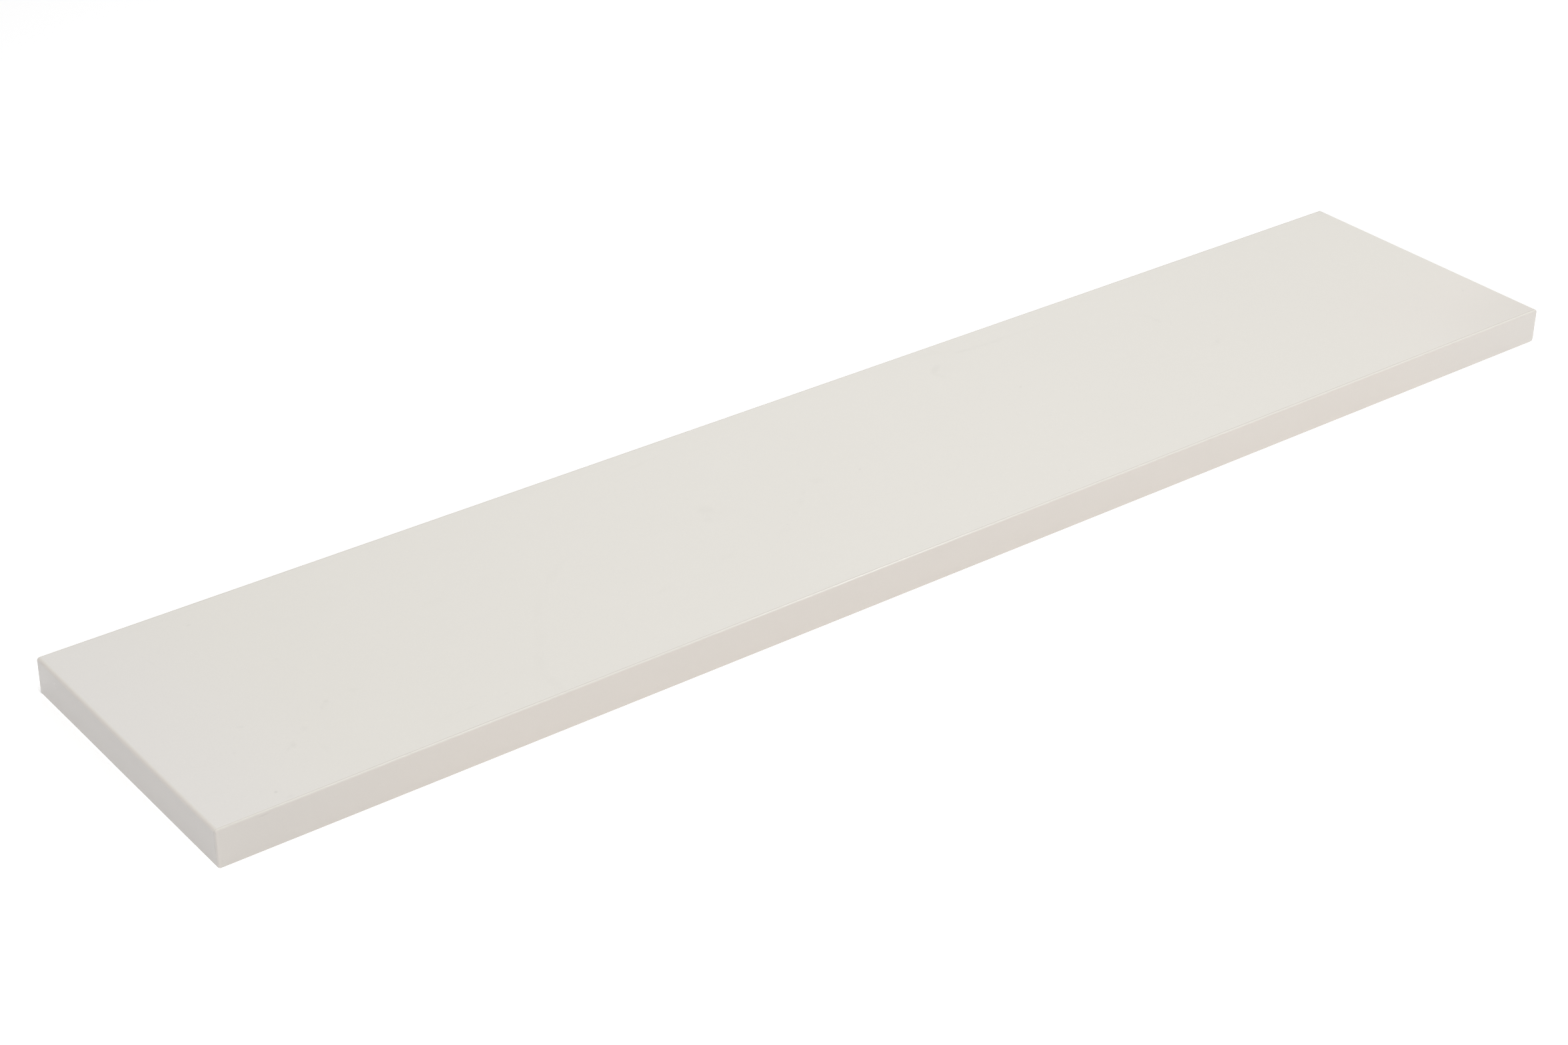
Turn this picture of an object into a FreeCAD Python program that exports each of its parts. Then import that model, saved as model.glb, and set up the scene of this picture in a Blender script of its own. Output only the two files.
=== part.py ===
import FreeCAD, Part
import os

# Window sill board: a faced panel with edging strips glued round it, lying flat with its top up.
# X runs along the length to the right, Y runs back towards the window, and Z is up.
# The origin is the middle of the underside, and all sizes are in millimetres.

# Finished size of the board
LENGTH = 1000.0
DEPTH = 200.0
THICKNESS = 24.0

# The front and back strips run the whole length, and the end strips stop between them
LONG_STRIP_THICKNESS = 1.3
END_STRIP_THICKNESS = 2.0

# A strip is rounded after it is glued on. The round of a long strip leaves a narrow flat before the joint,
# and the round of an end strip takes up its whole thickness.
LONG_STRIP_ROUND = 1.0
END_STRIP_ROUND = 2.0

# Each piece is eased by this much where its joint comes to the surface
JOINT_EASE = 0.12

# An edge within this distance of a plane or of the surface lies on it
TOLERANCE = 0.001

# The joints lie this far from the middle of the board
END_JOINT = LENGTH / 2 - END_STRIP_THICKNESS
LONG_JOINT = DEPTH / 2 - LONG_STRIP_THICKNESS


def edges_across(shape, axis, ends):
    """Edges of the shape that lie in either of two planes, square to the axis and ends from the middle."""
    found = []
    for edge in shape.Edges:
        places = [getattr(vertex.Point, axis) for vertex in edge.Vertexes]
        if all(abs(abs(place) - ends) < TOLERANCE for place in places) and max(places) - min(places) < ends:
            found.append(edge)
    return found


def strip_round(wanted, thickness):
    """The round of a strip, over its whole thickness or with room left for the ease on the flat before its joint."""
    return thickness if wanted >= thickness else min(wanted, thickness - 2 * JOINT_EASE)


def rounded_board():
    """The finished outside of the board: the ends are rounded first, then the rims of both long sides."""
    corner = FreeCAD.Vector(-LENGTH / 2, -DEPTH / 2, 0)
    block = Part.makeBox(LENGTH, DEPTH, THICKNESS, corner)
    end_edges = [edge for edge in edges_across(block, "x", LENGTH / 2) if abs(edge.tangentAt(0).y) > 0.5]
    block = block.makeFillet(strip_round(END_STRIP_ROUND, END_STRIP_THICKNESS), end_edges)
    side_edges = edges_across(block, "y", DEPTH / 2)
    return block.makeFillet(strip_round(LONG_STRIP_ROUND, LONG_STRIP_THICKNESS), side_edges)


def stretch(board, x_range, y_range):
    """The stretch of the board that lies between two X planes and two Y planes."""
    low = FreeCAD.Vector(x_range[0], y_range[0], 0)
    block = Part.makeBox(x_range[1] - x_range[0], y_range[1] - y_range[0], THICKNESS, low)
    return board.common(block).Solids[0]


def ease_joints(piece, board):
    """The piece with its edges eased where its joints come to the board's surface."""
    skin = board.Shells[0]
    joint_edges = edges_across(piece, "x", END_JOINT) + edges_across(piece, "y", LONG_JOINT)
    eased = []
    for edge in joint_edges:
        middle = edge.valueAt((edge.FirstParameter + edge.LastParameter) / 2)
        if skin.distToShape(Part.Vertex(middle))[0] < TOLERANCE:
            eased.append(edge)
    return piece.makeChamfer(JOINT_EASE, eased)


def sill_board():
    """Every piece of the board by its name."""
    board = rounded_board()
    whole_length = (-LENGTH / 2, LENGTH / 2)
    panel_depth = (-LONG_JOINT, LONG_JOINT)
    pieces = {
        "panel": stretch(board, (-END_JOINT, END_JOINT), panel_depth),
        "front_edging": stretch(board, whole_length, (-DEPTH / 2, -LONG_JOINT)),
        "back_edging": stretch(board, whole_length, (LONG_JOINT, DEPTH / 2)),
        "left_end_edging": stretch(board, (-LENGTH / 2, -END_JOINT), panel_depth),
        "right_end_edging": stretch(board, (END_JOINT, LENGTH / 2), panel_depth),
    }
    return {name: ease_joints(piece, board) for name, piece in pieces.items()}


os.makedirs("parts", exist_ok=True)
for name, piece in sill_board().items():
    piece.exportStep("parts/" + name + ".step")
    print(name, "valid", piece.isValid(), "volume", round(piece.Volume, 3), "faces", len(piece.Faces))
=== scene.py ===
"""Looks of an off-white window sill board: a faced panel with glued edging strips on a pale studio floor.

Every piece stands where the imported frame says, in metres. X runs to the right, Y back to the window, Z up.
"""

import logging
import math
from dataclasses import dataclass
from enum import Enum
from functools import reduce
from operator import add

import bpy
import numpy as np
from mathutils import Matrix, Vector


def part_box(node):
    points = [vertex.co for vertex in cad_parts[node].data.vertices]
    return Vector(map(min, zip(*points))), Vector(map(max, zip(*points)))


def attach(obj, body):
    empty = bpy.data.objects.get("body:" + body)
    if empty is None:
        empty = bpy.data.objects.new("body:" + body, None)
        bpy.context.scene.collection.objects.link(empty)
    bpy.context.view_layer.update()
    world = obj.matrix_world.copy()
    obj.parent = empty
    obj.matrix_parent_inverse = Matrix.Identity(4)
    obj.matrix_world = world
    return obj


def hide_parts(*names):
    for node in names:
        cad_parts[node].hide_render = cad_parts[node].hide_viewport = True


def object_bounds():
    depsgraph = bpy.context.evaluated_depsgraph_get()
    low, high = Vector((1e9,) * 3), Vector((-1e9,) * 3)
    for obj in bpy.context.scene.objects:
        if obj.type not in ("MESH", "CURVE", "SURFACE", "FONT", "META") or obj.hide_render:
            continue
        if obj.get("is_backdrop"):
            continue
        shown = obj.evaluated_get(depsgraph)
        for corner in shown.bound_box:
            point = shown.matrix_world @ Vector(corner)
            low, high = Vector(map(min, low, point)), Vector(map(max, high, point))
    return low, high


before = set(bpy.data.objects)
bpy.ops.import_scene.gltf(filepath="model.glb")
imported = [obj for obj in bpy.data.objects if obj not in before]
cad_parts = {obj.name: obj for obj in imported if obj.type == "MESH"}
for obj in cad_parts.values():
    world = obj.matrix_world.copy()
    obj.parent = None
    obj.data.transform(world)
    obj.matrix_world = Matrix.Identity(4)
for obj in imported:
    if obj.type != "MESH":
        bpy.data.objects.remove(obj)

LOG = logging.getLogger("sill_board")

MM = 0.001
PHOTO_WIDTH = 2353
SENSOR_WIDTH = 36.0
CLIP_RANGE = (0.05, 100.0)
BODY = "root"

# The rounds of the strips, and the eases at the long joints and where an end strip meets a long one
LONG_ROUND = 1.0 * MM
END_ROUND = 2.0 * MM
JOINT_EASE = 0.04 * MM
BUTT_EASE = 0.015 * MM

# How finely the meshes are divided
ARC_STEP = 0.12 * MM
LEAST_ARC_STEPS = 3
LEAST_WALK = 0.0004 * MM
RUN_STEP = 10 * MM

# The sizes of the drifts in a finish's tone and roughness
CLOUD_SIZE = 90 * MM
PATCH_SIZE = 7 * MM
PATCH_SHARE = 0.7
MOTTLE_SIZE = 0.9 * MM
ROUGHNESS_DRIFT = 0.05

# A mark reaches this far into its face, in millimetres, and fades out between these shares of its half size
MARK_REACH = 2.0
MARK_FADE = (0.15, 1.0)

Colour = tuple[float, float, float]
Span = tuple[float, float]
Socket = bpy.types.NodeSocket


class Side(Enum):
    """The side of the board that a strip covers, by the strip's name in the frame."""

    FRONT = "front_edging"
    BACK = "back_edging"
    LEFT = "left_end_edging"
    RIGHT = "right_end_edging"

    @property
    def is_long(self) -> bool:
        """Whether the strip runs the whole length of the board."""
        return self in (Side.FRONT, Side.BACK)

    @property
    def is_low(self) -> bool:
        """Whether the strip's outer face looks down its axis, to -X or -Y."""
        return self in (Side.FRONT, Side.LEFT)


@dataclass(frozen=True)
class Value:
    """A number in a shader. Python's operators on it add Math nodes."""

    graph: "Graph"
    socket: Socket

    def maths(self, operation: str, *terms: "Value | float") -> "Value":
        """Adds one Math node.

        Args:
            operation: the Math node's operation.
            terms: its inputs in order.

        Returns:
            The node's result.
        """
        node = self.graph.node("ShaderNodeMath", {"operation": operation}, dict(enumerate(terms)))
        return Value(self.graph, node.outputs[0])

    def __add__(self, other: "Value | float") -> "Value":
        """This value plus another."""
        return self.maths("ADD", self, other)

    def __radd__(self, other: float) -> "Value":
        """A number plus this value."""
        return self.maths("ADD", other, self)

    def __sub__(self, other: "Value | float") -> "Value":
        """This value less another."""
        return self.maths("SUBTRACT", self, other)

    def __rsub__(self, other: float) -> "Value":
        """A number less this value."""
        return self.maths("SUBTRACT", other, self)

    def __mul__(self, other: "Value | float") -> "Value":
        """This value times another."""
        return self.maths("MULTIPLY", self, other)

    def __rmul__(self, other: float) -> "Value":
        """A number times this value."""
        return self.maths("MULTIPLY", other, self)

    def __abs__(self) -> "Value":
        """This value without its sign."""
        return self.maths("ABSOLUTE", self)

    def larger(self, other: "Value | float") -> "Value":
        """The larger of this value and another."""
        return self.maths("MAXIMUM", self, other)

    def step(self, low: float, high: float, start: float = 0.0, end: float = 1.0) -> "Value":
        """A smooth step over this value.

        Args:
            low: where the step begins.
            high: where it ends.
            start: the result up to low.
            end: the result from high.

        Returns:
            The stepped value.
        """
        sockets = {"Value": self, "From Min": low, "From Max": high, "To Min": start, "To Max": end}
        node = self.graph.node("ShaderNodeMapRange", {"interpolation_type": "SMOOTHSTEP"}, sockets)
        return Value(self.graph, node.outputs["Result"])


class Graph:
    """The nodes of one material."""

    def __init__(self, name: str) -> None:
        """Starts an empty material.

        Args:
            name: the material's name.
        """
        self.material = bpy.data.materials.new(name)
        self.material.use_nodes = True
        self.tree = self.material.node_tree
        self.tree.nodes.clear()
        self.place = self.node("ShaderNodeTexCoord", {}, {}).outputs["Object"]
        parts = self.node("ShaderNodeSeparateXYZ", {}, {0: self.place})
        self.axes = tuple(Value(self, out) for out in parts.outputs)

    def node(
        self, kind: str, settings: dict[str, object], sockets: dict[str | int, object]
    ) -> bpy.types.Node:
        """Adds a node.

        Args:
            kind: the node's type.
            settings: its properties, which are set first.
            sockets: its inputs by name or number, each a plain value, a Value or another node's socket.

        Returns:
            The new node.
        """
        made = self.tree.nodes.new(kind)
        for name, setting in settings.items():
            setattr(made, name, setting)
        for name, given in sockets.items():
            source = given.socket if isinstance(given, Value) else given
            if isinstance(source, Socket):
                self.tree.links.new(source, made.inputs[name])
            else:
                made.inputs[name].default_value = source
        return made

    def vector(self, operation: str, **sockets: object) -> Socket:
        """A Vector Math node's result.

        Args:
            operation: the node's operation.
            sockets: first, second, third and scale, as the operation needs them.

        Returns:
            The resulting vector.
        """
        names = {"first": 0, "second": 1, "third": 2, "scale": "Scale"}
        given = {names[name]: value for name, value in sockets.items()}
        return self.node("ShaderNodeVectorMath", {"operation": operation}, given).outputs[0]

    def noise(self, size: float, detail: float = 2.0, place: Socket | None = None) -> Value:
        """Smooth noise about zero.

        Args:
            size: the size of its features, in metres.
            detail: how many finer layers lie on it.
            place: where it is read, which is the object's own place if none is given.

        Returns:
            The noise, mostly between -0.3 and 0.3.
        """
        sockets = {"Vector": place or self.place, "Scale": 1 / size, "Detail": detail}
        return Value(self, self.node("ShaderNodeTexNoise", {}, sockets).outputs["Fac"]) - 0.5

    def towards(self, factor: Value, first: Socket | Colour, second: Colour) -> Socket:
        """The first colour, going over to the second as the factor goes from 0 to 1.

        Args:
            factor: how far it goes over.
            first: the colour at 0.
            second: the colour at 1.

        Returns:
            The mixed colour.
        """
        start = first if isinstance(first, Socket) else (*first, 1.0)
        node = self.node("ShaderNodeMix", {"data_type": "RGBA"}, {0: factor, 6: start, 7: (*second, 1.0)})
        return node.outputs[2]

    def bump(self, height: Value, depth: float) -> Socket:
        """The surface normal over a relief of that height, in shares of a depth in metres."""
        sockets = {"Strength": 1.0, "Distance": depth, "Height": height}
        return self.node("ShaderNodeBump", {}, sockets).outputs["Normal"]

    def finish(self, **sockets: object) -> bpy.types.Material:
        """Ends the material in a Principled surface.

        Args:
            sockets: the surface's inputs, their names in small letters with _ for each space.

        Returns:
            The material.
        """
        names = {name.replace("_", " ").title(): given for name, given in sockets.items()}
        surface = self.node("ShaderNodeBsdfPrincipled", {}, names)
        self.node("ShaderNodeOutputMaterial", {}, {"Surface": surface.outputs[0]})
        return self.material


@dataclass(frozen=True)
class Mark:
    """A faint mark on a face: an oval patch, streak or speck, or a broad patch of painted shade or painted
    light.

    The place is its middle in millimetres along the face's two axes, length and width are its whole size,
    turn is the angle of its length in degrees, and depth is the share of light that it takes away, below
    zero for a lighter mark.
    """

    place: tuple[float, float]
    length: float
    width: float
    turn: float
    depth: float


# The marks on the top: the specks, then the smears and streaks, and last a broad darker, rougher patch at its
# front right corner
TOP_MARKS = (
    Mark((-418, 80.4), 4.2, 2.6, 0, 0.045),
    Mark((-458.6, -88.5), 3.0, 2.8, 0, 0.1),
    Mark((-6.8, -1.8), 2.8, 2.4, 0, 0.07),
    Mark((143.6, 21.4), 3.0, 2.4, 10, 0.08),
    Mark((481.2, -50.6), 2.8, 2.6, 40, 0.06),
    Mark((95.2, -78.2), 2.6, 2.0, 0, 0.045),
    Mark((-458.3, -45.1), 2.8, 1.8, 45, 0.04),
    Mark((-83.2, -28.6), 2.6, 2.2, 0, 0.03),
    Mark((66, -20), 2.4, 2.0, 0, 0.035),
    Mark((-397.3, 21.2), 5, 4, 0, 0.018),
    Mark((-454.5, -96.2), 6, 3, -10, 0.03),
    Mark((-444.3, -25.8), 6, 3.5, -20, 0.03),
    Mark((-430, -56.5), 8, 5.5, 70, 0.038),
    Mark((-434.5, -58.5), 9, 5, 30, 0.016),
    Mark((-418.5, -46.5), 7.5, 7, 0, 0.022),
    Mark((-418.5, -68.5), 14, 5.5, 85, 0.014),
    Mark((-395.8, -30.6), 5, 4, 60, 0.034),
    Mark((-400.5, -35.7), 5, 3.5, 40, 0.02),
    Mark((-397.5, -32.5), 16, 5, 52, 0.011),
    Mark((-378.3, -30.4), 9, 5.5, -20, 0.018),
    Mark((-296.7, 20), 24, 12, 0, 0.009),
    Mark((-111.5, 14), 17, 14, 60, 0.024),
    Mark((-117, 3), 12, 8, 60, 0.016),
    Mark((-104, 6), 26, 14, -20, 0.006),
    Mark((-37, 2.5), 13, 9, 10, 0.015),
    Mark((-52, -4), 10, 5, 45, 0.014),
    Mark((-60, -11.5), 13, 7, 40, 0.012),
    Mark((-71, -20), 12, 6, 50, 0.011),
    Mark((-90, -34), 22, 8, 0, 0.008),
    Mark((-134, -37), 20, 7, 0, 0.01),
    Mark((115.5, 72.5), 20, 8, 37, 0.032),
    Mark((112, 64), 13, 7, 100, 0.013),
    Mark((146, 81.5), 17, 6, 0, 0.02),
    Mark((164, 81), 60, 6, -3, 0.013),
    Mark((190, 80.3), 110, 4, 0, 0.007),
    Mark((130, 90), 36, 7, -15, 0.008),
    Mark((280.3, 40), 11, 6, 85, 0.02),
    Mark((279.5, 47), 11, 7, 100, 0.011),
    Mark((291.3, -6.7), 8, 6, 45, 0.018),
    Mark((290, -7), 24, 8, 18, 0.01),
    Mark((-341, -81.9), 56, 2.0, 0, 0.01),
    Mark((-337, -81.9), 12, 2.2, 4, 0.014),
    Mark((-315, -81.9), 6, 2.2, 0, 0.014),
    Mark((-288, -88), 34, 9, 88, 0.011),
    Mark((-283, -66), 34, 10, 62, 0.01),
    Mark((-269, -46), 36, 10, 54, 0.009),
    Mark((-254, -21), 36, 8, 52, 0.01),
    Mark((-225, 6), 56, 9, 38, 0.01),
    Mark((-110, 82.5), 64, 4, 9, 0.009),
    Mark((-186, -45.5), 26, 4, 8, 0.01),
    Mark((-453, 60), 26, 2.4, -83, 0.011),
    Mark((505, -105), 230, 130, 0, 0.055),
)

# The marks on two outer faces: a nick on the left end, with painted shade in it, a dark streak under the
# front arris, and broad patches of painted shade and painted light: darker along the top of the left end and
# lighter along its bottom, evening out its shading, and darker over the front's left end, where less light
# falls
SIDE_MARKS_AND_PAINTED_LIGHT = {
    Side.LEFT: (
        # A nick: two lighter patches of chipped edging and a darker patch of painted shade in it
        Mark((79.5, 17.6), 4.2, 1.1, -30, -0.085),
        Mark((78.0, 15.6), 3.6, 1.0, -25, -0.085),
        Mark((77.6, 17.0), 3.6, 1.0, -30, 0.075),
        # Painted shade along the top of the left end and painted light along its bottom, evening out its
        # shading
        Mark((0, 24), 600, 24, 0, 0.03),
        Mark((0, 0), 600, 24, 0, -0.018),
    ),
    Side.FRONT: (
        Mark((-472.3, 22.0), 9, 1.4, 0, 0.075),
        # Painted shade over the front's left end, which gets less light
        Mark((-505, 12), 400, 90, 0, 0.035),
    ),
}

# The tones of the facing and of the two ends; the ends' tone is darker than the facing's, mostly as painted
# shade for the left end, which gets less light, and the right end takes the same tone
FACE_TONE: Colour = (0.6119, 0.5913, 0.5482)
END_TONE_AND_SHADE: Colour = (0.4910, 0.4675, 0.4463)


@dataclass(frozen=True)
class JointDirt:
    """The dirt in the joint line of a long strip.

    The share is how far the line goes over to the dirt's colour. It varies by the unevenness over stretches
    of the board, and at the board's left end only the left share of it is there.
    """

    share: float = 0.38
    colour: Colour = (0.16, 0.12, 0.10)
    panel_reach: float = 0.30 * MM
    strip_reach: float = 0.18 * MM
    stretch: float = 24 * MM
    unevenness: float = 0.9
    left_share: float = 0.5
    left_fade: Span = (-500 * MM, -380 * MM)

    def over(self, graph: Graph, joint: Value, colour: Socket) -> Socket:
        """A colour with the dirt over it.

        Args:
            graph: the material's nodes.
            joint: how far a point is into the joint line, from 0 to 1.
            colour: the clean colour.

        Returns:
            The soiled colour.
        """
        uneven = graph.noise(self.stretch, 3.0) * self.unevenness + 1.0
        amount = uneven * graph.axes[0].step(*self.left_fade, self.left_share, 1.0)
        return graph.towards(joint * amount * self.share, colour, self.colour)


JOINT_DIRT = JointDirt()


@dataclass(frozen=True)
class Finish:
    """A satin off-white surface.

    The cloud is the strength of a slow drift of tone, with small patches in it, and the mottle that of a fine
    one. The relief is the depth of the surface's fine texture.
    """

    name: str
    colour: Colour
    roughness: float
    cloud: float
    mottle: float
    relief: float

    def share(self, graph: Graph) -> Value:
        """The share of its colour that the surface keeps, from the slow cloud and the fine mottle.

        Args:
            graph: the material's nodes.

        Returns:
            The share, near 1.
        """
        cloud = (graph.noise(CLOUD_SIZE, 3.0) + graph.noise(PATCH_SIZE, 1.0) * PATCH_SHARE) * self.cloud
        mottle = graph.noise(MOTTLE_SIZE, 1.0) * self.mottle
        return cloud + mottle + 1.0


@dataclass(frozen=True)
class Facing(Finish):
    """The faced panel's finish: its decor, the faint marks on its top and its plainer underside.

    The left colour is the tone that it reaches at its left end, which is a little cooler, and the corner
    colour that of its front right corner, which is a little warmer. A mark wider than the speck width, in
    millimetres, gets an uneven rim from the smear. The underside's fade is in shares of the thickness.
    """

    left_colour: Colour = (0.6119, 0.5913, 0.5620)
    left_fade: Span = (-500 * MM, -390 * MM)
    corner_colour: Colour = (0.6119, 0.5825, 0.5423)
    corner_along: Span = (330 * MM, 470 * MM)
    corner_across: Span = (-70 * MM, 30 * MM)
    underside_share: float = 0.965
    underside_fade: Span = (0.25, 0.5)
    smear_size: float = 6 * MM
    smear_reach: float = 4 * MM
    speck_width: float = 3.2
    mark_roughness: float = 1.2
    gloss_size: float = 35 * MM
    grain_size: float = 0.45 * MM
    ripple_size: float = 2.2 * MM
    ripple_share: float = 1.5

    def marks(self, graph: Graph, height: float) -> Value:
        """What all the marks on the top take away.

        Each mark is 1 - r smoothed, where r is the distance from its middle in half sizes, and the places of
        the wider marks are read through a slow noise, so that none is a clean oval.

        Args:
            graph: the material's nodes.
            height: the top's height, so that the underside stays clean.

        Returns:
            The share of light that is lost.
        """
        sockets = {"Vector": graph.place, "Scale": 1 / self.smear_size, "Detail": 3.0}
        drift = graph.node("ShaderNodeTexNoise", {}, sockets).outputs["Color"]
        drift = graph.vector("SUBTRACT", first=drift, second=(0.5, 0.5, 0.5))
        reach = (self.smear_reach, self.smear_reach, 0.0)
        smeared = graph.vector("MULTIPLY_ADD", first=drift, second=reach, third=graph.place)
        patches = []
        for mark in TOP_MARKS:
            place = smeared if mark.width > self.speck_width else graph.place
            patches.append(spot(graph, place, (*mark.place, height / MM), mark, 2) * mark.depth)
        return reduce(add, patches)

    def material(self, panel: "Block") -> bpy.types.Material:
        """The panel's material.

        Args:
            panel: the panel, whose edges say where the joints are.

        Returns:
            The material.
        """
        graph = Graph(self.name)
        x, y, z = graph.axes
        top = panel.high[2]
        lost = self.marks(graph, top)
        under = z.step(top * self.underside_fade[0], top * self.underside_fade[1], self.underside_share, 1.0)
        share = self.share(graph) * under - lost
        colour = graph.towards(x.step(*self.left_fade, 1.0, 0.0), self.colour, self.left_colour)
        corner = x.step(*self.corner_along) * y.step(*self.corner_across, 1.0, 0.0)
        colour = graph.towards(corner, colour, self.corner_colour)
        colour = graph.vector("SCALE", first=colour, scale=share)
        joint = (abs(y) - panel.high[1]).step(-JOINT_DIRT.panel_reach, 0.0)
        colour = JOINT_DIRT.over(graph, joint, colour)
        gloss = graph.noise(self.gloss_size, 3.0) * ROUGHNESS_DRIFT
        rough = gloss + lost * self.mark_roughness + self.roughness
        height = graph.noise(self.grain_size, 1.0) + graph.noise(self.ripple_size, 1.0) * self.ripple_share
        normal = graph.bump(height, self.relief)
        return graph.finish(base_color=colour, roughness=rough, normal=normal)


@dataclass(frozen=True)
class Edging(Finish):
    """An edging strip's finish, with faint lines along its length from being drawn and scraped.

    The rim colour is that of the strip's flat and round beside the panel's top; on the end strips it is the
    facing's tone, the lit copy beside their end tone, which is darkened as painted shade. A long strip goes
    over to the far colour towards both its ends, and on its end faces to the end tone with its painted shade,
    so that they match the end strips. The warm tint and light share is how far the rounds of an end face go
    over to the warm tint and light colour, which is painted light where it is lighter than the strip's tone,
    as on the end strips. The spans are distances from the strip's faces, except the far span, which is the
    distance from the middle of the board.
    """

    rim_colour: Colour
    # A warm tint, which on the end strips is lighter than their tone: painted light on their rounds
    warm_tint_and_light: float = 0.35
    warm_tint_and_light_colour: Colour = (0.65, 0.585, 0.54)
    # Painted shade: the ends' darker tone, which a long strip takes on its end faces
    end_tone_and_shade: Colour = END_TONE_AND_SHADE
    far_colour: Colour = (0.6195, 0.5852, 0.5460)
    far_span: Span = (330 * MM, 500 * MM)
    end_span: Span = (0.1 * MM, 1.1 * MM)
    clean_span: Span = (0.2 * MM, 1.2 * MM)
    rim_start: float = 0.2 * MM
    long_round_span: Span = (1.2 * MM, 2.0 * MM)
    end_round_span: Span = (1.2 * MM, 2.05 * MM)
    line_stretch: float = 0.004
    line_size: float = 0.8 * MM
    line_share: float = 0.004
    line_roughness: float = 0.03
    line_relief: float = 0.3
    gloss_size: float = 20 * MM
    grain_size: float = 0.5 * MM

    def material(self, side: Side, strip: "Block") -> bpy.types.Material:
        """The strip's material.

        Args:
            side: the side of the board that the strip covers.
            strip: the strip, whose box says where its joint is.

        Returns:
            The material.
        """
        graph = Graph(f"{self.name}_{side.value}")
        stretch = (self.line_stretch, 1.0, 1.0) if side.is_long else (1.0, self.line_stretch, 1.0)
        drawn = graph.vector("MULTIPLY", first=graph.place, second=stretch)
        lines = graph.noise(self.line_size, 1.0, drawn)
        share = self.share(graph) + lines * self.line_share
        if side in SIDE_MARKS_AND_PAINTED_LIGHT:
            share = share - side_marks_and_painted_light(graph, side, strip)
        colour = self.clean_colour(graph, side, strip)
        colour = graph.vector("SCALE", first=colour, scale=share)
        if side.is_long:
            colour = JOINT_DIRT.over(graph, self.joint(graph, side, strip), colour)
        gloss = graph.noise(self.gloss_size, 3.0) * ROUGHNESS_DRIFT
        rough = gloss + lines * self.line_roughness + self.roughness
        height = graph.noise(self.grain_size, 1.0) + lines * self.line_relief
        return graph.finish(base_color=colour, roughness=rough, normal=graph.bump(height, self.relief))

    def clean_colour(self, graph: Graph, side: Side, strip: "Block") -> Socket:
        """The strip's colour before its mottle, marks and dirt.

        Args:
            graph: the material's nodes.
            side: the side of the board that the strip covers.
            strip: the strip, whose box says where its faces are.

        Returns:
            The colour.
        """
        rim = self.rim(graph, side, strip)
        if side.is_long:
            far = abs(graph.axes[0]).step(*self.far_span)
            colour = graph.towards(far, self.colour, self.far_colour)
            colour = graph.towards(rim, colour, self.rim_colour)
            # Painted shade: the long strip's end faces take the ends' darker tone
            colour = graph.towards(self.end_face(graph, strip), colour, self.end_tone_and_shade)
        else:
            colour = graph.towards(rim, self.colour, self.rim_colour)
        # Warm tint, and painted light on the end strips' rounds
        return graph.towards(self.round_of_end(graph, side, strip) * self.warm_tint_and_light, colour, self.warm_tint_and_light_colour)

    def joint(self, graph: Graph, side: Side, strip: "Block") -> Value:
        """How far a point of a long strip is into its joint line, which leaves the end faces clean.

        Args:
            graph: the material's nodes.
            side: the side of the board that the strip covers.
            strip: the strip, whose box says where its joint is.

        Returns:
            The share, from 0 to 1.
        """
        x, y, _ = graph.axes
        inner = strip.high[1] if side.is_low else strip.low[1]
        clear = (strip.high[0] - abs(x)).step(*self.clean_span)
        return abs(y - inner).step(0.0, JOINT_DIRT.strip_reach, 1.0, 0.0) * clear

    def rim(self, graph: Graph, side: Side, strip: "Block") -> Value:
        """How far a point is into the strip's flat and round beside the panel's top, from 0 to 1."""
        reach = LONG_ROUND if side.is_long else END_ROUND
        return (strip.high[2] - graph.axes[2]).step(self.rim_start, reach, 1.0, 0.0)

    def end_face(self, graph: Graph, strip: "Block") -> Value:
        """How far a point of a long strip is into its end faces below their top round, where it takes the
        ends' darker tone, mostly painted shade.

        Args:
            graph: the material's nodes.
            strip: the strip, whose box says where its end faces are.

        Returns:
            The share, from 0 to 1.
        """
        x, _, z = graph.axes
        below = (strip.high[2] - z).step(self.rim_start, END_ROUND)
        return (strip.high[0] - abs(x)).step(*self.end_span, 1.0, 0.0) * below

    def round_of_end(self, graph: Graph, side: Side, strip: "Block") -> Value:
        """How far a point is into a round of an end face, from 0 to 1: where the warm tint goes, which is
        painted light on the end strips.

        It is worked out from the sum of the point's distances from the two faces that the round joins, which
        is least halfway round. A long strip has such a round at its left end.

        Args:
            graph: the material's nodes.
            side: the side of the board that the strip covers.
            strip: the strip, whose box says where its faces are.

        Returns:
            The share.
        """
        x, y, z = graph.axes
        if side.is_long:
            beside = abs(y - (strip.low[1] if side.is_low else strip.high[1]))
            return (x - strip.low[0] + beside).step(*self.long_round_span, 1.0, 0.0)
        outer = strip.low[0] if side.is_low else strip.high[0]
        return (abs(x - outer) + (strip.high[2] - z)).step(*self.end_round_span, 1.0, 0.0)


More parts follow.
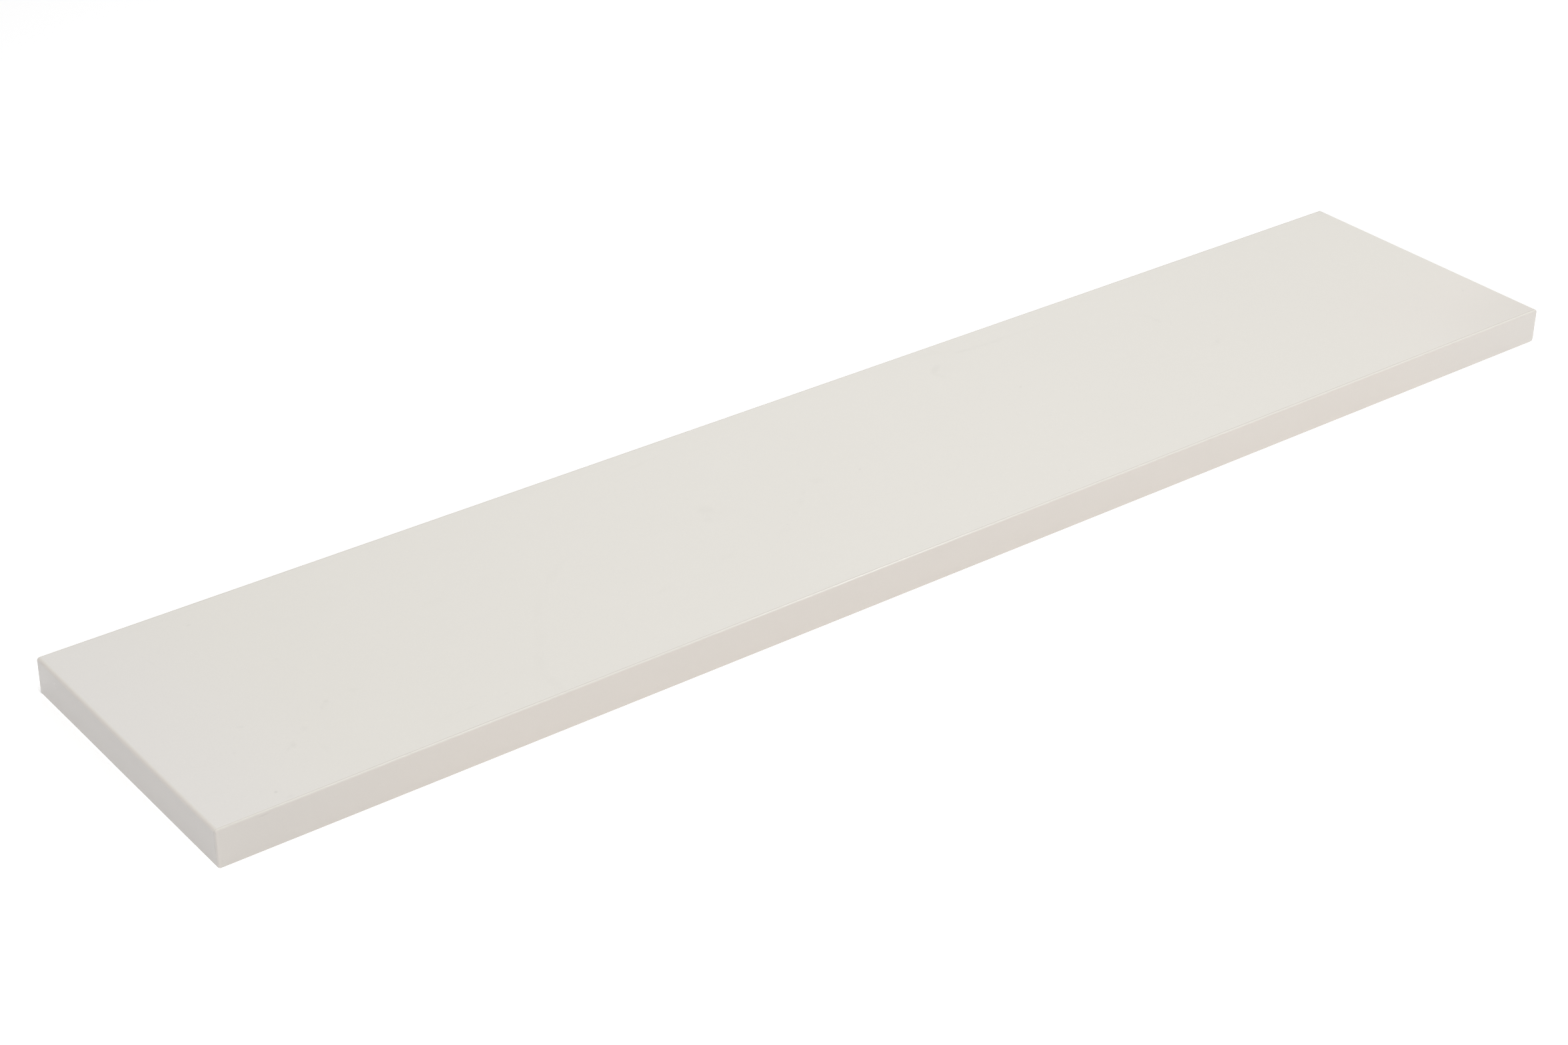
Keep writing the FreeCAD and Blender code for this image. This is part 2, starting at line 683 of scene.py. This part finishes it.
def spot(
    graph: Graph, place: Socket, middle: tuple[float, float, float], mark: Mark, flat_axis: int
) -> Value:
    """A soft oval patch.

    Args:
        graph: the material's nodes.
        place: the place that is read, in metres.
        middle: the patch's middle, in millimetres.
        mark: its size and turn.
        flat_axis: the axis that the face looks along.

    Returns:
        1 at the middle, falling smoothly to 0 at the rim and on other faces.
    """
    half = [mark.length / 2, mark.width / 2]
    half.insert(flat_axis, MARK_REACH)
    turn = [0.0, 0.0, 0.0]
    turn[flat_axis] = math.radians(mark.turn)
    sockets = {"Vector": place, "Location": Vector(middle) * MM, "Rotation": turn, "Scale": Vector(half) * MM}
    local = graph.node("ShaderNodeMapping", {"vector_type": "TEXTURE"}, sockets).outputs[0]
    distance = graph.node("ShaderNodeVectorMath", {"operation": "LENGTH"}, {0: local}).outputs["Value"]
    return Value(graph, distance).step(*MARK_FADE, 1.0, 0.0)


def side_marks_and_painted_light(graph: Graph, side: Side, strip: "Block") -> Value:
    """What the marks on the outer face of a strip take away, with its patches of painted shade, and what its
    patches of painted light add.

    Args:
        graph: the material's nodes.
        side: the side of the board that the strip covers.
        strip: the strip, whose box says where its outer face is.

    Returns:
        The share of light that is lost.
    """
    flat_axis = 1 if side.is_long else 0
    outer = (strip.low if side.is_low else strip.high)[flat_axis] / MM
    patches = []
    for mark in SIDE_MARKS_AND_PAINTED_LIGHT[side]:
        middle = [*mark.place]
        middle.insert(flat_axis, outer)
        patches.append(spot(graph, graph.place, tuple(middle), mark, flat_axis) * mark.depth)
    return reduce(add, patches)


def edge_walk(
    length: float, low_round: float, high_round: float
) -> tuple[np.ndarray, np.ndarray, np.ndarray]:
    """Walks along an edge with a round at each end.

    A round of radius r begins at the end face, where the walk is 0 and the inset is r. At the turn t, from 0
    to a quarter, the walk is r (1 - cos t), the inset is r (1 - sin t) and the outward direction leans by t
    from the end face's. Where the two rounds have no room beside each other, the larger stops where the
    smaller begins, and the smaller is inset by what the larger still lacks. The straight run between is
    divided evenly.

    Args:
        length: the whole length.
        low_round: the round at the start.
        high_round: the round at the end.

    Returns:
        The walk, the inset and the lean of the outward direction, from -90 to 90 degrees as radians.
    """
    def arc(radius: float, other: float) -> tuple[np.ndarray, np.ndarray, np.ndarray]:
        """One round, from its end face inwards.

        Args:
            radius: its radius.
            other: the radius of the round at the other end.

        Returns:
            Its walk, inset and turn.
        """
        room = length - other if radius > other else radius
        stop = math.acos(1 - min(1.0, room / radius))
        steps = max(LEAST_ARC_STEPS, round(radius * stop / ARC_STEP))
        turn = np.linspace(0, stop, steps + 1)
        return radius * (1 - np.cos(turn)), radius * (1 - np.sin(turn)), turn

    low_walk, low_inset, low_turn = arc(low_round, high_round)
    high_walk, high_inset, high_turn = arc(high_round, low_round)
    start, end = low_walk[-1], length - high_walk[-1]
    run = np.linspace(start, end, max(2, math.ceil((end - start) / RUN_STEP) + 1))[1:-1]
    walk = np.concatenate([low_walk, run, length - high_walk[::-1]])
    inset = np.concatenate([low_inset + high_inset[-1], 0 * run, high_inset[::-1] + low_inset[-1]])
    lean = np.concatenate([low_turn - math.pi / 2, 0 * run, math.pi / 2 - high_turn[::-1]])
    kept = np.concatenate([[True], np.diff(walk) > LEAST_WALK])
    return walk[kept], inset[kept], lean[kept]


@dataclass(frozen=True)
class Block:
    """A straight piece with rounded edges, as an outline that is carried along an axis.

    The outline lies in the plane of two axes, walk and mirror: it is a rectangle whose corners have one
    radius at the low end of the walk and one at its high end, alike above and below. It is carried along the
    third axis, and its rim is rounded at both ends of the carry.
    """

    low: Vector
    high: Vector
    walk: int
    mirror: int
    carry: int
    corners: tuple[float, float]
    rims: tuple[float, float]

    def outline(self) -> tuple[np.ndarray, np.ndarray, int, int]:
        """The closed outline, anticlockwise from the top of its high end.

        Returns:
            Its points and their outward directions, each in the walk and the mirror axis, and the number of
            points along the top and of divisions down each side.
        """
        walk, inset, lean = edge_walk(self.size[self.walk], *self.corners)
        half = self.size[self.mirror] / 2
        upper = np.stack([self.low[self.walk] + walk, half - inset], 1)[::-1]
        upper_out = np.stack([np.sin(lean), np.cos(lean)], 1)[::-1]
        rows = max(1, math.ceil(self.size[self.mirror] / RUN_STEP))
        down = 1 - 2 * np.arange(1, rows)[:, None] / rows
        left = upper[-1] * np.hstack([np.ones_like(down), down])
        right = upper[0] * np.hstack([np.ones_like(down), -down])
        flip = np.array([1, -1])
        points = np.concatenate([upper, left, (upper * flip)[::-1], right])
        left_out, right_out = left * 0 + upper_out[-1], right * 0 + upper_out[0]
        out = np.concatenate([upper_out, left_out, (upper_out * flip)[::-1], right_out])
        return points, out, len(upper), rows

    @property
    def size(self) -> Vector:
        """The piece's whole size."""
        return self.high - self.low

    def surface(self) -> tuple[np.ndarray, np.ndarray, np.ndarray]:
        """The whole skin.

        A ring j stands at the carry c(j), inset by d(j), where c and d are the walk and the inset of the
        edge between the two end faces. Its point i is p(i) - d(j) o(i), with p the outline and o its outward
        direction. The normal is cos(l) o(i) + sin(l) along the carry, with l the lean at j. Each end face is
        a grid whose columns join a point of the outline's top to the one below it.

        Returns:
            The vertices, their normals, and the faces as rows of four vertex numbers.
        """
        points, out, top, rows = self.outline()
        carry, inset, lean = edge_walk(self.size[self.carry], *self.rims)
        count = len(points)
        middle = (self.low[self.mirror] + self.high[self.mirror]) / 2
        flat = points[None] - inset[:, None, None] * out[None]
        spread = np.cos(lean)[:, None, None] * out[None]
        vertices = self.placed(flat, middle, (self.low[self.carry] + carry)[:, None] + 0 * flat[..., 0])
        normals = self.placed(spread, 0.0, np.sin(lean)[:, None] + 0 * spread[..., 0])
        ring, place = np.meshgrid(np.arange(len(carry) - 1), np.arange(count), indexing="ij")
        here, following = ring * count + place, ring * count + (place + 1) % count
        faces = [np.stack([here, following, following + count, here + count], -1).reshape(-1, 4)]
        all_vertices, all_normals = [vertices.reshape(-1, 3)], [normals.reshape(-1, 3)]
        total = vertices.size // 3
        share = (np.arange(1, rows) / rows)[:, None, None]
        for number, side in ((0, -1), (len(carry) - 1, 1)):
            above = flat[number, 1:top - 1]
            inner = above[None] * np.concatenate([np.ones_like(share), 1 - 2 * share], -1)
            level = np.full(inner.shape[:2], self.low[self.carry] + carry[number])
            all_vertices.append(self.placed(inner, middle, level).reshape(-1, 3))
            facing = np.zeros((level.size, 3))
            facing[:, self.carry] = side
            all_normals.append(facing)
            grid = self.end_grid(number * count, total, top, rows, count)
            total += level.size
            corners = [grid[:-1, :-1], grid[:-1, 1:], grid[1:, 1:], grid[1:, :-1]]
            face = np.stack(corners, -1).reshape(-1, 4)
            faces.append(face if side > 0 else face[:, ::-1])
        turned = (self.mirror - self.walk) % 3 == 1
        skin = np.concatenate(faces)
        return np.concatenate(all_vertices), np.concatenate(all_normals), skin if turned else skin[:, ::-1]

    def placed(self, flat: np.ndarray, middle: float, level: np.ndarray) -> np.ndarray:
        """Points or directions in X, Y and Z.

        Args:
            flat: their walk and mirror parts.
            middle: what is added to the mirror part.
            level: their carry part.

        Returns:
            An array with a last axis of three.
        """
        made = np.zeros((*flat.shape[:-1], 3))
        made[..., self.walk] = flat[..., 0]
        made[..., self.mirror] = flat[..., 1] + middle
        made[..., self.carry] = level
        return made

    def end_grid(self, ring: int, inner: int, top: int, rows: int, count: int) -> np.ndarray:
        """The vertex numbers of an end face as a grid, from its top row down, from its high side to its low.

        Args:
            ring: the number of the first vertex of the face's ring.
            inner: the number of the first vertex inside the face.
            top: how many points the outline has along its top.
            rows: how many divisions it has down each side.
            count: how many points it has in all.

        Returns:
            An array with a row for each division and one more.
        """
        grid = np.zeros((rows + 1, top), int)
        grid[0] = np.arange(top)
        grid[-1] = np.arange(2 * top + rows - 2, top + rows - 2, -1)
        grid[1:-1, -1] = np.arange(top, top + rows - 1)
        grid[1:-1, 0] = np.arange(count - 1, count - rows, -1)
        grid += ring
        grid[1:-1, 1:-1] = inner + np.arange((rows - 1) * (top - 2)).reshape(rows - 1, top - 2)
        return grid

    def piece(self, name: str, node: str, slot: str, material: bpy.types.Material) -> bpy.types.Object:
        """Makes the mesh, which stands for a node of the frame.

        Args:
            name: the piece's name.
            node: the node that it stands for.
            slot: the record's material slot of its finish; not used.
            material: its material.

        Returns:
            The new object, riding on the board's body.
        """
        vertices, normals, faces = self.surface()
        mesh = bpy.data.meshes.new(name)
        mesh.from_pydata(vertices, [], faces.tolist())
        mesh.shade_smooth()
        mesh.normals_split_custom_set_from_vertices(normals)
        mesh.materials.append(material)
        made = bpy.data.objects.new(name, mesh)
        bpy.context.scene.collection.objects.link(made)
        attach(made, BODY)
        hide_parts(node)
        LOG.info("%s: %d vertices, %d faces", name, len(vertices), len(faces))
        return made


@dataclass(frozen=True)
class FacedPanel:
    """The panel between the strips."""

    finish: Facing

    def block(self) -> Block:
        """The panel's shape: its outline is carried up from the underside.

        Returns:
            The shape.
        """
        low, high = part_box("panel")
        eases = (JOINT_EASE, JOINT_EASE)
        return Block(low, high, walk=0, mirror=1, carry=2, corners=eases, rims=eases)

    def build(self) -> bpy.types.Object:
        """Makes and dresses the panel."""
        block = self.block()
        return block.piece("faced_panel", "panel", "board_facing", self.finish.material(block))


@dataclass(frozen=True)
class EdgingStrip:
    """One edging strip, glued on and then rounded along its outer edges."""

    side: Side
    finish: Edging
    end_round: float

    def block(self) -> Block:
        """The strip's shape: its outline across the board's length, carried from front to back.

        Returns:
            The shape.
        """
        low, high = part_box(self.side.value)
        outer = LONG_ROUND if self.side.is_long else self.end_round
        pair = (outer, JOINT_EASE) if self.side.is_low else (JOINT_EASE, outer)
        if self.side.is_long:
            ends = (self.end_round, self.end_round)
            return Block(low, high, walk=0, mirror=2, carry=1, corners=ends, rims=pair)
        butts = (BUTT_EASE, BUTT_EASE)
        return Block(low, high, walk=0, mirror=2, carry=1, corners=pair, rims=butts)

    def build(self) -> bpy.types.Object:
        """Makes and dresses the strip.

        Returns:
            The strip's object.
        """
        block = self.block()
        slot = "long_edging" if self.side.is_long else "end_edging"
        material = self.finish.material(self.side, block)
        return block.piece(f"{self.side.value}_strip", self.side.value, slot, material)


@dataclass(frozen=True)
class Softbox:
    """A square studio light that faces the board."""

    name: str
    direction: tuple[float, float, float]
    distance: float
    size: float
    power: float

    def build(self, target: Vector) -> bpy.types.Object:
        """Hangs the light.

        Args:
            target: the point that it faces.

        Returns:
            The light.
        """
        towards = Vector(self.direction).normalized()
        lamp = bpy.data.lights.new(self.name, "AREA")
        lamp.shape = "SQUARE"
        lamp.size = self.size
        lamp.energy = self.power
        made = bpy.data.objects.new(self.name, lamp)
        made.location = target + towards * self.distance
        made.rotation_euler = towards.to_track_quat("Z", "Y").to_euler()
        bpy.context.scene.collection.objects.link(made)
        return made


@dataclass(frozen=True)
class Studio:
    """A pale floor in soft light.

    The floor glows as painted light that washes out the board's shadows: a shadow-fill glow beside the
    board's left end, where its cast shadow falls, and a contact-shadow glow at the outline under the board's
    lower rounds, where its contact shadow falls. The spans are distances outwards from the board's outline.
    Further in than the hole's span the floor is open.
    """

    softboxes: tuple[Softbox, ...]
    floor_colour: Colour = (0.97, 0.97, 0.97)
    floor_radius: float = 14.0
    floor_core: float = 0.02
    rings: int = 24
    spokes: int = 96
    gap: float = 0.02 * MM
    drift: float = 0.01
    drift_size: float = 0.6
    # Painted light: the floor glows beside the board's left end, where its cast shadow falls, and at the
    # outline under its lower rounds, where its contact shadow falls
    shadow_fill_glow: float = 0.19
    shadow_fill_span: Span = (0.0, 75 * MM)
    shadow_side_span: Span = (-1.2 * MM, 0.0)
    contact_shadow_glow: float = 0.9
    contact_shadow_span: Span = (-1.2 * MM, 0.3 * MM)
    hole_span: Span = (-1.44 * MM, -1.32 * MM)
    sky_colour: Colour = (1.0, 1.0, 1.0)
    sky_strength: float = 0.609

    def floor(self, board: Vector) -> bpy.types.Object:
        """A round floor a hair below the board's underside, as rings of vertices from the middle outwards.

        It shows only from above and is open under the board, so that the board's underside can be looked at.

        Args:
            board: the board's whole size.

        Returns:
            The floor.
        """
        count = self.spokes
        turn = np.linspace(0, 2 * math.pi, count, endpoint=False)
        reach = self.floor_radius * np.linspace(self.floor_core, 1, self.rings) ** 2
        x, y = reach[:, None] * np.cos(turn), reach[:, None] * np.sin(turn)
        vertices = np.stack([x, y, 0 * x - self.gap], -1).reshape(-1, 3)
        ring, place = np.meshgrid(np.arange(self.rings - 1), np.arange(count), indexing="ij")
        here, following = ring * count + place, ring * count + (place + 1) % count
        faces = np.stack([here, here + count, following + count, following], -1).reshape(-1, 4).tolist()
        faces.append(list(range(count)))
        mesh = bpy.data.meshes.new("studio_floor")
        mesh.from_pydata(vertices, [], faces)
        mesh.materials.append(self.floor_material(board))
        made = bpy.data.objects.new("studio_floor", mesh)
        bpy.context.scene.collection.objects.link(made)
        made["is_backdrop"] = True
        return made

    def floor_material(self, board: Vector) -> bpy.types.Material:
        """Smooth white paper with a barely uneven tone, which glows beside the board as painted light that
        washes out the board's shadows.

        It is clear from below, and in the hole under the board.

        Args:
            board: the board's whole size.

        Returns:
            The material.
        """
        graph = Graph("floor_paper")
        x, y, _ = graph.axes
        share = graph.noise(self.drift_size, 2.0) * self.drift + 1.0
        colour = graph.vector("SCALE", first=self.floor_colour, scale=share)
        outside = (abs(x) - board[0] / 2).larger(abs(y) - board[1] / 2)
        # Painted light: glow where the board's cast shadow falls beside its left end, and where its contact
        # shadow falls at its outline
        left = (board[0] / -2 - x).step(*self.shadow_side_span)
        shadow_fill_glow = outside.step(*self.shadow_fill_span, self.shadow_fill_glow, 0.0) * left
        shadow_fill_glow = shadow_fill_glow + outside.step(*self.contact_shadow_span, self.contact_shadow_glow, 0.0)
        sockets = {
            "Base Color": colour,
            "Roughness": 1.0,
            "Specular IOR Level": 0.0,
            "Emission Color": graph.vector("SCALE", first=(1.0, 1.0, 1.0), scale=shadow_fill_glow),
            "Emission Strength": 1.0,
        }
        paper = graph.node("ShaderNodeBsdfPrincipled", {}, sockets)
        clear = graph.node("ShaderNodeBsdfTransparent", {}, {})
        back = Value(graph, graph.node("ShaderNodeNewGeometry", {}, {}).outputs["Backfacing"])
        unseen = back.larger(outside.step(*self.hole_span, 1.0, 0.0))
        mixed = graph.node("ShaderNodeMixShader", {}, {0: unseen, 1: paper.outputs[0], 2: clear.outputs[0]})
        graph.node("ShaderNodeOutputMaterial", {}, {"Surface": mixed.outputs[0]})
        return graph.material

    def sky(self) -> None:
        """Lights everything evenly from all round."""
        world = bpy.data.worlds.new("soft_white")
        world.use_nodes = True
        background = world.node_tree.nodes["Background"]
        background.inputs["Color"].default_value = (*self.sky_colour, 1.0)
        background.inputs["Strength"].default_value = self.sky_strength
        bpy.context.scene.world = world

    def build(self, low: Vector, high: Vector) -> None:
        """Sets up the floor, the sky and the lights round the board.

        Args:
            low: the low corner of the board's box.
            high: its high corner.
        """
        self.floor(high - low)
        self.sky()
        for softbox in self.softboxes:
            softbox.build((low + high) / 2)
        view = bpy.context.scene.view_settings
        view.view_transform = "Standard"
        view.look = "None"
        LOG.info("studio: %d softboxes", len(self.softboxes))


@dataclass(frozen=True)
class PhotoCamera:
    """The camera of the photograph, as fitted to the board's outline there.

    The place is in metres in the board's frame, forward is its line of sight, right is the direction that
    shows as level to the right, and the focal length is in pixels of the photograph.
    """

    place: tuple[float, float, float]
    forward: tuple[float, float, float]
    right: tuple[float, float, float]
    focal_pixels: float

    def build(self) -> bpy.types.Object:
        """Makes the camera and hands it to the scene.

        Returns:
            The camera.
        """
        data = bpy.data.cameras.new("photo_camera")
        data.sensor_width = SENSOR_WIDTH
        data.lens = SENSOR_WIDTH * self.focal_pixels / PHOTO_WIDTH
        data.clip_start, data.clip_end = CLIP_RANGE
        back = -Vector(self.forward).normalized()
        right = Vector(self.right).normalized()
        up = back.cross(right)
        made = bpy.data.objects.new("photo_camera", data)
        turn = Matrix((right, up, back)).transposed()
        made.matrix_world = Matrix.Translation(self.place) @ turn.to_4x4()
        bpy.context.scene.collection.objects.link(made)
        bpy.context.scene.camera = made
        return made


FACING = Facing(
    name="board_facing", colour=FACE_TONE, roughness=0.42, cloud=0.012, mottle=0.035, relief=0.005 * MM
)
LONG_EDGING = Edging(
    name="long_edging",
    colour=(0.6293, 0.5852, 0.5378),
    roughness=0.21,
    cloud=0.010,
    mottle=0.030,
    relief=0.002 * MM,
    rim_colour=(0.6119, 0.5855, 0.5368),
    warm_tint_and_light=0.15,
)
END_EDGING = Edging(
    name="end_edging",
    colour=END_TONE_AND_SHADE,
    roughness=0.33,
    cloud=0.010,
    mottle=0.030,
    relief=0.004 * MM,
    # Painted light: the end strips' rim keeps the facing's lighter tone, the lit copy beside their end tone
    # that is darkened as painted shade
    rim_colour=FACE_TONE,
)

STUDIO = Studio(
    (
        Softbox("key_high", (0.508, -0.10, 0.85), 2.2, 0.2, 3.37),
        Softbox("key_low", (0.508, -0.33, 0.79), 2.2, 0.2, 5.72),
        Softbox("right_sheet", (0.69, -0.36, 0.63), 2.3, 1.0, 5.22),
        Softbox("left_sheet", (0.25, -0.15, 0.95), 2.2, 0.5, 7.28),
        Softbox("overhead", (-0.6, -0.4, 1.0), 3.0, 2.0, 30.7),
        Softbox("back_fill", (0.5, 0.8, 0.6), 3.0, 1.6, 6.11),
    )
)

CAMERA = PhotoCamera(
    place=(-1.047046, -1.254379, 0.929623),
    forward=(0.533844, 0.680705, -0.501649),
    right=(0.791498, -0.61103, 0.013167),
    focal_pixels=4606.6,
)


def main() -> None:
    """Builds the board's pieces, the studio and the camera."""
    logging.basicConfig(level=logging.INFO, format="%(name)s %(message)s")
    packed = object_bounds()
    end_low, end_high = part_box(Side.LEFT.value)
    end_round = (end_high - end_low)[0]
    FacedPanel(FACING).build()
    for side in Side:
        EdgingStrip(side, LONG_EDGING if side.is_long else END_EDGING, end_round).build()
    CAMERA.build()
    STUDIO.build(*packed)


if __name__ == "__main__":
    main()
